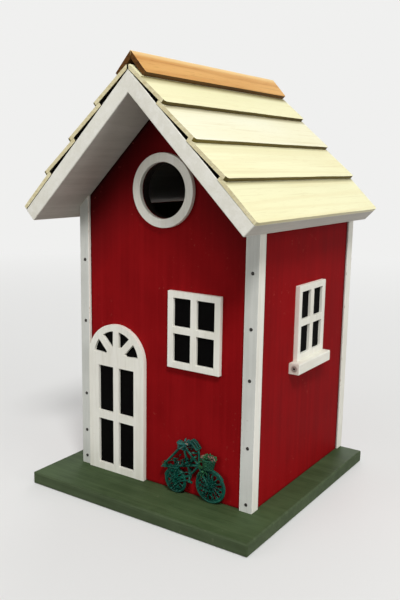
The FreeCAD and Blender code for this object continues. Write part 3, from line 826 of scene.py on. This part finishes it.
# the bicycle ornament, in round wire and cast leaves, where its CAD casting is
bicycle = {
    # places in mm along the wall from the casting's left end, and up from its foot
    "places": {"rear": (11.25, 8.4), "front": (37.85, 11.0), "crank": (22.45, 14.4), "head": (29.05, 22.6),
               "seat": (16.85, 34.0), "stem": (28.45, 33.4), "grip": (23.25, 38.2), "rack": (0.85, 15.6),
               "strut": (11.65, 18.2), "basket": (36.25, 22.4)},
    "tubes": (("rear", "crank"), ("crank", "seat"), ("crank", "head"), ("seat", "head"), ("rack", "head"),
              ("rack", "seat"), ("rear", "strut")),
    "lugs": ("head", "crank", "seat", "rear", "strut"),
    # the tube's radius, and others as parts of it
    "tube": 0.85 * mm, "lug": 1.25, "lugReach": 1.6, "axle": 0.8, "stemTube": 0.95, "barTube": 0.8,
    "axleReach": 2.88 * mm, "forkHalf": 1.9 * mm, "barHalf": 2.4 * mm,
    # top, foot, where the bend is, and the ends as parts of the tube's radius
    "forks": (("head", "front", 0.3, 0.9, 0.6), ("strut", "rear", 0.4, 0.8, 0.6)),
    # mudguards, from and to in degrees round the wheel
    "guards": {"rear": (25, 175), "front": (35, 165)}, "guardStep": 10, "guardLap": 0.1 * mm,
    "guardRows": (-0.5 * mm, 0.0, 0.5 * mm), "guardDrop": 0.25, "guardWire": 0.55 * mm,
    "chain": ((11.25, 11.2), (16.5, 15.2), (22.45, 17.2), (24.6, 14.4), (22.45, 11.6), (16.5, 9.6),
              (11.25, 6.6)), "chainOut": 1.3, "chainWire": 0.35 * mm,
    "crankArm": (1.6, -3.2), "crankOut": 1.9, "pedalOut": 2.3, "armWire": 0.5 * mm, "pedalWire": 0.75 * mm,
    "pedalHalf": 1.5 * mm,
    "carrier": ((1.1, 15.9), (4.0, 16.9), (14.0, 17.6)), "carrierRows": (-1.8, -0.6, 0.6, 1.8),
    "carrierWire": 0.45 * mm,
    # degrees between faces that are shaded as one
    "blend": 62, "wheelBlend": 50,
}
bikeLow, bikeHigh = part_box("bicycle")
bikeMiddle = (bikeLow.y + bikeHigh.y) / 2


def onBike(across, height, out=0.0):
    # millimetres from the lowest left corner, and out from the middle towards the front
    return Vector((bikeLow.x + across * mm, bikeMiddle - out * mm, bikeLow.z + height * mm))


def addWire(shape, points, radius, roundness=3):
    # a round wire through points; it tapers if radius is a pair
    curve = bpy.data.curves.new("wire", "CURVE")
    curve.dimensions = "3D"
    curve.bevel_depth = 1.0
    curve.bevel_resolution = roundness
    curve.use_fill_caps = True
    line = curve.splines.new("NURBS" if len(points) > 2 else "POLY")
    line.points.add(len(points) - 1)
    first, last = radius if isinstance(radius, tuple) else (radius, radius)
    for index, (entry, point) in enumerate(zip(line.points, points)):
        entry.co = (*point, 1)
        entry.radius = first + (last - first) * index / (len(points) - 1)
    if line.type == "NURBS":
        line.order_u = 3
        line.use_endpoint_u = True
        line.resolution_u = 6
    holder = newObject("wire", curve)
    mesh = evaluatedMesh(holder)
    bpy.data.objects.remove(holder)
    bpy.data.curves.remove(curve)
    shape.from_mesh(mesh)
    bpy.data.meshes.remove(mesh)


def finishShape(shape, name, finish, nodes=()):
    bmesh.ops.recalc_face_normals(shape, faces=shape.faces)
    for face in shape.faces:
        face.smooth = True
        face.material_index = 0
    mesh = meshOf(shape, name)
    mesh.materials.append(finishes[finish])
    shadeBySize(mesh, bicycle["blend"])
    place(newObject(name, mesh), nodes)


def makeFrame():
    shape = bmesh.new()
    tube = bicycle["tube"]
    for start, end in bicycle["tubes"]:
        addWire(shape, [spotOf[start], spotOf[end]], tube)
    for key in bicycle["lugs"]:
        # where the tubes meet
        up = Vector((0, 0, tube * bicycle["lugReach"]))
        lug = [spotOf[key] + up * rise for rise in (-1, -1 / 3, 1 / 3, 1)]
        addWire(shape, lug, tube * bicycle["lug"])
    for sign in (1, -1):
        # fork blades and seat stays, one each side of a wheel
        side = Vector((0, sign * bicycle["forkHalf"], 0))
        for top, foot, bend, thick, thin in bicycle["forks"]:
            knee = spotOf[top] * (1 - bend) + spotOf[foot] * bend + side
            addWire(shape, [spotOf[top], knee, spotOf[foot] + side], (tube * thick, tube * thin))
    for key in wheels:
        across = Vector((0, bicycle["axleReach"], 0))
        addWire(shape, [spotOf[key] - across, spotOf[key] + across], tube * bicycle["axle"])
    stem, grip = spotOf["stem"], spotOf["grip"]
    addWire(shape, [spotOf["head"], spotOf["head"] * 0.5 + stem * 0.5 + Vector((0.5, 0, 0)) * mm, stem,
                    stem * 0.45 + grip * 0.55 + Vector((0, 0, 1.2)) * mm, grip], tube * bicycle["stemTube"])
    for sign in (1, -1):
        # the bar's two ends come back to their grips
        side = Vector((0, sign * bicycle["barHalf"], 0))
        addWire(shape, [stem, stem + side * 0.8 + Vector((0.6, 0, 0.6)) * mm, stem + side,
                        grip + side + Vector((1.6, 0, -0.6)) * mm, grip + side + Vector((0, 0, -0.4)) * mm],
                tube * bicycle["barTube"])
    for key, (start, end) in bicycle["guards"].items():
        # mudguards lie along the tyres' outer edge
        radius = wheels[key]["Radius"] - bicycle["guardLap"]
        turns = [math.radians(angle) for angle in range(start, end, bicycle["guardStep"])]
        bow = [spotOf[key] + radius * Vector((math.cos(turn), 0, math.sin(turn))) for turn in turns]
        for row in bicycle["guardRows"]:
            drop = Vector((0, row, -bicycle["guardDrop"] * abs(row)))
            addWire(shape, [point + drop for point in bow], bicycle["guardWire"], 2)
    chain = [onBike(*spot, bicycle["chainOut"]) for spot in bicycle["chain"]]
    addWire(shape, chain, bicycle["chainWire"], 2)
    across, up = bicycle["places"]["crank"]
    armAcross, armUp = bicycle["crankArm"]
    half = Vector((bicycle["pedalHalf"], 0, 0))
    for sign in (-1, 1):
        hub = onBike(across, up, sign * bicycle["crankOut"])
        foot = onBike(across + sign * armAcross, up + sign * armUp, sign * bicycle["pedalOut"])
        addWire(shape, [spotOf["crank"], hub, foot], bicycle["armWire"], 2)
        addWire(shape, [foot - half, foot + half], bicycle["pedalWire"], 2)
    for out in bicycle["carrierRows"]:
        addWire(shape, [onBike(*spot, out) for spot in bicycle["carrier"]], bicycle["carrierWire"], 2)
    finishShape(shape, "bicycleFrame", "tealEnamel", ["bicycle"])


saddle = {
    # along from the seat post, up from its top, half width and half height, in mm
    "sections": ((5.4, 0.6, 0.3, 0.25), (5.0, 0.6, 0.75, 0.6), (3.2, 0.5, 0.95, 0.8), (0.8, 0.3, 1.3, 0.9),
                 (-1.2, 0.4, 2.3, 1.0), (-2.8, 0.8, 2.9, 1.1), (-3.7, 1.0, 2.4, 0.9), (-4.1, 1.1, 1.2, 0.4)),
    "around": 16, "springPlace": (-2.4, -2.3, 1.7), "springRadius": 0.75, "springPoints": 24,
    "springTurn": 0.9, "springRise": 0.11, "springWire": 0.28 * mm,
    "gripTip": (22.6, 37.5), "gripBack": (25.6, 36.9), "gripRows": (-2.4, 0, 2.4),
    "gripEnds": (0.95 * mm, 0.8 * mm),
}


def makeSaddle():
    shape = bmesh.new()
    along, up = bicycle["places"]["seat"]
    rings = []
    angles = [2 * math.pi * step / saddle["around"] for step in range(saddle["around"])]
    for x, z, wide, tall in saddle["sections"]:
        # a smooth closed form through oval sections
        middle, wide, tall = onBike(along + x, up + z), wide * mm, tall * mm
        rings.append([shape.verts.new(middle + Vector((0, wide * math.cos(angle), tall * math.sin(angle))))
                      for angle in angles])
    for first, second in zip(rings, rings[1:]):
        for step in range(saddle["around"]):
            after = (step + 1) % saddle["around"]
            shape.faces.new((first[step], first[after], second[after], second[step]))
    shape.faces.new(rings[0])
    shape.faces.new(list(reversed(rings[-1])))
    x, z, out = saddle["springPlace"]
    for sign in (-1, 1):
        turns = [(step * saddle["springTurn"], step * saddle["springRise"])
                 for step in range(saddle["springPoints"])]
        spring = [onBike(along + x + saddle["springRadius"] * math.cos(angle), up + z + rise,
                         sign * out + saddle["springRadius"] * math.sin(angle)) for angle, rise in turns]
        addWire(shape, spring, saddle["springWire"], 1)
    for out in saddle["gripRows"]:
        # the handlebar's grips
        tip, back = onBike(*saddle["gripTip"], out), onBike(*saddle["gripBack"], out)
        addWire(shape, [tip, (tip + back) / 2, back], saddle["gripEnds"])
    finishShape(shape, "bicycleSaddle", "tealEnamelWorn")


# laced wheels: half the spokes lean each way from the hub
wheels = {"rear": {"Radius": 8.4 * mm, "Spokes": 11}, "front": {"Radius": 11.0 * mm, "Spokes": 14}}
wheelSizes = {"Radius": 10 * mm, "Tyre": 0.85 * mm, "Spokes": 14, "Spoke": 0.42 * mm, "Hub": 1.5 * mm,
              "Axle": 3.2 * mm}
wheelLook = dict(
    steps=64, tyreSides=12, rimPlace=2.4, rim=0.5, rimSides=8, hubSides=20, cap=0.55, capDepth=1.5,
    spokeEnd=2.5, spokeSides=8, lean=0.6, leanTurn=-0.16, lacing=0.25, rowOut=0.3 * mm)


def wheelMaker():
    maker = Maker("wheelMaker", wheelSizes)
    radius, tyre, spokes, spoke, hub, axle = (maker.given[label] for label in wheelSizes)
    upright = (math.pi / 2, 0, 0)
    outer = maker.rod(maker.circle(radius - tyre, wheelLook["steps"]), tyre, wheelLook["tyreSides"])
    inner = maker.rod(maker.circle(radius - tyre * wheelLook["rimPlace"], wheelLook["steps"]),
                      tyre * wheelLook["rim"], wheelLook["rimSides"])
    barrel = maker.cylinder(hub, axle, wheelLook["hubSides"])
    cap = maker.cylinder(hub * wheelLook["cap"], axle * wheelLook["capDepth"], wheelLook["hubSides"])
    length = radius - tyre * wheelLook["spokeEnd"]
    wire = maker.cylinder(spoke, length, wheelLook["spokeSides"])
    row = maker.node("GeometryNodeMeshLine", {"Count": spokes, "Offset": (0, 0, 0)})
    index = maker.node("GeometryNodeInputIndex")
    fans = []
    for side in (1, -1):
        lean = side * wheelLook["lean"]
        leaning = maker.moved(wire, maker.joined(hub * lean, side * wheelLook["rowOut"], length * 0.5),
                              turn=(0, lean * wheelLook["leanTurn"], 0))
        angle = (index + side * wheelLook["lacing"]) * (2 * math.pi) / spokes
        fans.append(maker.copies(row, leaning, maker.eulerTurn(maker.joined(0.0, angle, 0.0))))
    maker.close(*(maker.moved(part, turn=upright) for part in (outer, inner, barrel, cap)), *fans)
    return maker


basketSizes = {"Foot": 6.2 * mm, "Top": 8.6 * mm, "Deep": 6.6 * mm, "Height": 6.0 * mm, "Strand": 0.3 * mm,
               "Wave": 0.07, "Rows": 7, "Staves": 18}
basketLook = dict(steps=72, sides=6, footDeep=0.8, stake=1.1, lip=1.9, lipSides=8)


def basketMaker():
    maker = Maker("basketMaker", basketSizes)
    foot, top, deep, height, strand, wave, rows, staves = (maker.given[label] for label in basketSizes)

    def shaped(curve, woven):
        # unit circle and unit height to the basket's tapered oval, with the rows woven in and out
        where = maker.node("GeometryNodeInputPosition")
        x, y, z = (maker.split(where, axis) for axis in range(3))
        swing = maker.maths("SINE", maker.maths("ARCTAN2", y, x) * staves * 0.5
                            + maker.maths("ROUND", z * (rows - 1)) * math.pi)
        out = swing * wave + 1.0 if woven else 1.0
        long = (foot + (top - foot) * z) * 0.5
        short = deep * 0.5 * (basketLook["footDeep"] + (1 - basketLook["footDeep"]) * z)
        moved = maker.joined(x * long * out, y * short * out, z * height)
        return maker.node("GeometryNodeSetPosition", {"Geometry": curve, "Position": moved})

    column = maker.node("GeometryNodeMeshLine",
                        {"Count": rows, "Start Location": (0, 0, 0), "Offset": (0, 0, 1)}, mode="END_POINTS")
    hoop = maker.circle(1.0, basketLook["steps"])
    stake = maker.node("GeometryNodeCurvePrimitiveLine", {"Start": (0, 0, 0), "End": (0, 0, 1)})
    hoops = maker.realized(maker.copies(column, hoop))
    stakes = maker.realized(maker.copies(maker.circle(1.0, staves), stake))
    lip = maker.moved(hoop, (0, 0, 1))
    woven = maker.rod(shaped(hoops, True), strand, basketLook["sides"])
    upright = maker.rod(shaped(stakes, False), strand * basketLook["stake"], basketLook["sides"])
    edge = maker.rod(shaped(lip, False), strand * basketLook["lip"], basketLook["lipSides"])
    maker.close(woven, upright, edge)
    return maker


leafSizes = {"Density": 400000.0, "Leaf": 3.0 * mm, "Wide": 0.5, "Stand": 0.7, "Seed": 3}
leafLook = dict(
    sides=6, rings=5, rise=0.35, thick=0.16, tilt=Vector((1, 1, 3)), bigness=(0.65, 1.15), bignessSeed=8,
    clear=0.05 * mm)


def leafMaker():
    maker = Maker("leafMaker", leafSizes)
    density, leaf, wide, stand, seed = (maker.given[label] for label in leafSizes)
    points, facing = maker.node("GeometryNodeDistributePointsOnFaces",
                                {"Mesh": maker.given["Geometry"], "Density": density, "Seed": seed},
                                output=("Points", "Rotation"))
    blade = maker.node("GeometryNodeMeshUVSphere",
                       {"Segments": leafLook["sides"], "Rings": leafLook["rings"], "Radius": leaf * 0.5})
    blade = maker.moved(blade, maker.joined(0.0, 0.0, leaf * leafLook["rise"]),
                        scale=maker.joined(wide, leafLook["thick"], 1.0))
    tilt = maker.node("FunctionNodeRandomValue", {"Min": -leafLook["tilt"], "Max": leafLook["tilt"],
                                                  "Seed": seed}, data_type="FLOAT_VECTOR")
    spread = maker.node("ShaderNodeVectorMath", {0: tilt, "Scale": stand}, operation="SCALE")
    leafTurn = maker.node("FunctionNodeRotateRotation",
                          {"Rotation": facing, "Rotate By": maker.eulerTurn(spread)}, rotation_space="LOCAL")
    least, most = leafLook["bigness"]
    bigness = maker.node("FunctionNodeRandomValue", {2: least, 3: most, "Seed": leafLook["bignessSeed"]},
                         output=1, data_type="FLOAT")
    maker.close(maker.copies(points, blade, leafTurn, bigness))
    return maker


def mound(name, centre, sizes, floor):
    # a low dome, or a full round, for leaves to grow from; it isn't kept
    shape = bmesh.new()
    bmesh.ops.create_icosphere(shape, subdivisions=3, radius=1.0)
    for vert in shape.verts:
        unit = Vector((vert.co.x, vert.co.y, max(vert.co.z, floor)))
        vert.co = unit * Vector(sizes) * mm + centre
    return meshOf(shape, name)


# how far down a clump's mound goes, and how wide and how loosely its leaves stand
habits = {"tuft": (-0.2, {}), "round": (-1.0, {"Wide": 0.42, "Stand": 0.35}),
          "blossom": (-0.2, {"Wide": 0.7})}
# name after "bicycle": place, half sizes in mm, habit, finish, leaves a square metre, leaf in mm, seed
growth = {
    "SaddleLeaves": ((19.6, 33.0, 0.3), (3.6, 1.7, 3.6), "tuft", "tealEnamelWorn", 330000.0, 3.4, 31),
    "FrameLeaves": ((16.8, 22.4), (7.6, 1.3, 3.4), "tuft", "tealEnamel", 260000.0, 3.6, 9),
    "StemLeaves": ((27.6, 27.0), (2.4, 1.3, 4.4), "tuft", "tealEnamel", 260000.0, 3.2, 14),
    "ForkLeaves": ((32.4, 19.8, 0.8), (3.2, 1.5, 3.0), "tuft", "castLeaf", 520000.0, 3.4, 6),
    "StayLeaves": ((8.6, 16.2, 0.8), (4.6, 1.5, 1.9), "tuft", "tealEnamel", 330000.0, 3.0, 4),
    "BasketLeaves": ((36.2, 28.2), (3.9, 2.4, 1.8), "tuft", "castLeaf", 700000.0, 3.0, 5),
    "SideLeaves": ((33.4, 24.6, 1.0), (2.8, 1.7, 4.8), "tuft", "castLeaf", 560000.0, 3.2, 12),
    "RackLeaves": ((3.0, 17.2), (2.4, 2.0, 0.9), "tuft", "castLeaf", 420000.0, 2.2, 2),
    "FrontWheelLeaves": ((37.4, 10.6, 0.8), (7.4, 0.8, 7.4), "round", "tealEnamel", 270000.0, 3.2, 41),
    "RearWheelLeaves": ((11.25, 8.4, 0.8), (5.6, 0.8, 5.6), "round", "tealEnamel", 270000.0, 2.8, 43),
}
for index, (across, out) in enumerate(((33.6, 0.8), (36.2, -0.2), (38.9, 0.8))):
    growth["Blossom%d" % index] = (
        (across, 29.4, out), (1.3, 1.3, 0.7), "blossom", "castPetal", 3000000.0, 1.7, 20 + index)


def growLeaves():
    maker = leafMaker()
    for key, (spot, sizes, habit, finish, density, leaf, seed) in growth.items():
        floor, shapes = habits[habit]
        inputs = dict(shapes, Density=density, Leaf=leaf * mm, Seed=seed)
        name = "bicycle" + key
        leaves = maker.make(name, mound(name, onBike(*spot), sizes, floor), finish, inputs)
        for vert in leaves.data.vertices:
            # nothing pokes into the wall behind or past the casting's front and sides
            vert.co.y = min(max(vert.co.y, bikeLow.y), bikeHigh.y - leafLook["clear"])
            vert.co.x = min(max(vert.co.x, bikeLow.x), bikeHigh.x)
        place(leaves)


def setOnBike(piece, key):
    piece.data.transform(Matrix.Translation(spotOf[key]))
    shadeBySize(piece.data, bicycle["wheelBlend"])
    place(piece)


spotOf = {key: onBike(*spot) for key, spot in bicycle["places"].items()}
makeFrame()
makeSaddle()
wheelTree = wheelMaker()
for key, sizes in wheels.items():
    wheel = wheelTree.make("bicycleWheel" + key.title(), pointMesh("wheelPoint"), "tealEnamel", sizes)
    setOnBike(wheel, key)
setOnBike(basketMaker().make("bicycleBasket", pointMesh("basketPoint"), "tealWicker"), "basket")
growLeaves()
print("bicycle made")


# studio
studio = dict(
    azimuth=33.02, elevation=9.06, distance=0.5025, aim=(-0.0040, -0.0027, 0.1255), roll=0.95, lens=44.1,
    sensor=36, near=0.01, world=0.33, backdrop=(240, 240, 239), floorSeen=(232, 232, 230),
    floorLit=(150, 150, 148), floorRadius=8.0, floorSides=96, floorDrop=0.02 * mm, fade=(0.16, 1.3, 0.75),
    haze=0.25)
lamps = {"key": ((1.12, -1.19, 2.03), 0.55, 39.4), "fill": ((-1.1, -1.9, 0.6), 1.3, 8.4),
         "side": ((2.2, -0.2, 0.5), 1.0, 11.0), "back": ((-0.9, 2.3, 0.75), 1.5, 20.0)}


def makeCamera():
    azimuth = math.radians(studio["azimuth"])
    elevation = math.radians(studio["elevation"])
    back = Vector((math.sin(azimuth) * math.cos(elevation), -math.cos(azimuth) * math.cos(elevation),
                   math.sin(elevation)))
    camera = newObject("camera", bpy.data.cameras.new("camera"))
    camera.location = houseCentre + back * studio["distance"]
    turn = (Vector(studio["aim"]) - camera.location).to_track_quat("-Z", "Y").to_matrix()
    camera.rotation_euler = (turn @ Matrix.Rotation(math.radians(studio["roll"]), 3, "Z")).to_euler()
    camera.data.lens = studio["lens"]
    camera.data.sensor_width = studio["sensor"]
    camera.data.clip_start = studio["near"]
    bpy.context.scene.camera = camera


def seenDirectly(tree):
    # 1 for camera, glossy and transmission rays
    camera, glossy, through = tree.node("ShaderNodeLightPath",
                                        output=("Is Camera Ray", "Is Glossy Ray", "Is Transmission Ray"))
    return tree.maths("MAXIMUM", tree.maths("MAXIMUM", camera, glossy), through)


def makeWorld():
    # soft even light; the camera and reflections see the backdrop colour
    world = bpy.data.worlds.new("studio")
    bpy.context.scene.world = world
    world.use_nodes = True
    tree = Tree(world.node_tree)
    light = tree.node("ShaderNodeBackground", {"Color": (1, 1, 1, 1), "Strength": studio["world"]})
    shown = tree.node("ShaderNodeBackground", {"Color": linear(studio["backdrop"]), "Strength": 1.0})
    both = tree.node("ShaderNodeMixShader", {0: seenDirectly(tree), 1: light, 2: shown})
    world.node_tree.links.new(both.socket, world.node_tree.nodes["World Output"].inputs["Surface"])


def makeFloor():
    # pale floor that fades into the backdrop well away from the house
    shape = bmesh.new()
    bmesh.ops.create_circle(shape, cap_ends=True, segments=studio["floorSides"],
                            radius=studio["floorRadius"])
    floor = newObject("floor", meshOf(shape, "floor"))
    floor.location.z = cadBox[0].z - studio["floorDrop"]
    finish = Finish("paleFloor", {"Roughness": 0.85, "Specular IOR Level": 0.1})
    seen = seenDirectly(finish)
    finish.feed("Base Color", finish.mix(seen, studio["floorLit"], studio["floorSeen"]))
    away = finish.node("ShaderNodeVectorMath", {0: finish.place}, "Value", operation="LENGTH")
    fade = finish.band(away, *studio["fade"]) + studio["haze"]
    glow = finish.node("ShaderNodeEmission", {"Color": linear(studio["backdrop"]), "Strength": 1.0})
    shader = Wire(finish, finish.shader.outputs[0])
    both = finish.node("ShaderNodeMixShader", {0: fade * seen, 1: shader, 2: glow})
    finish.tree.links.new(both.socket, finish.tree.nodes["Material Output"].inputs["Surface"])
    floor.data.materials.append(finish.material)


def makeLamp(name, spot, size, power):
    lamp = newObject(name, bpy.data.lights.new(name, "AREA"))
    lamp.data.shape = "DISK"
    lamp.data.size = size
    lamp.data.energy = power
    lamp.location = spot
    lamp.rotation_euler = (houseCentre - lamp.location).to_track_quat("-Z", "Y").to_euler()


makeCamera()
makeWorld()
makeFloor()
for name, (spot, size, power) in lamps.items():
    makeLamp(name + "Lamp", Vector(spot), size, power)
print("studio made")
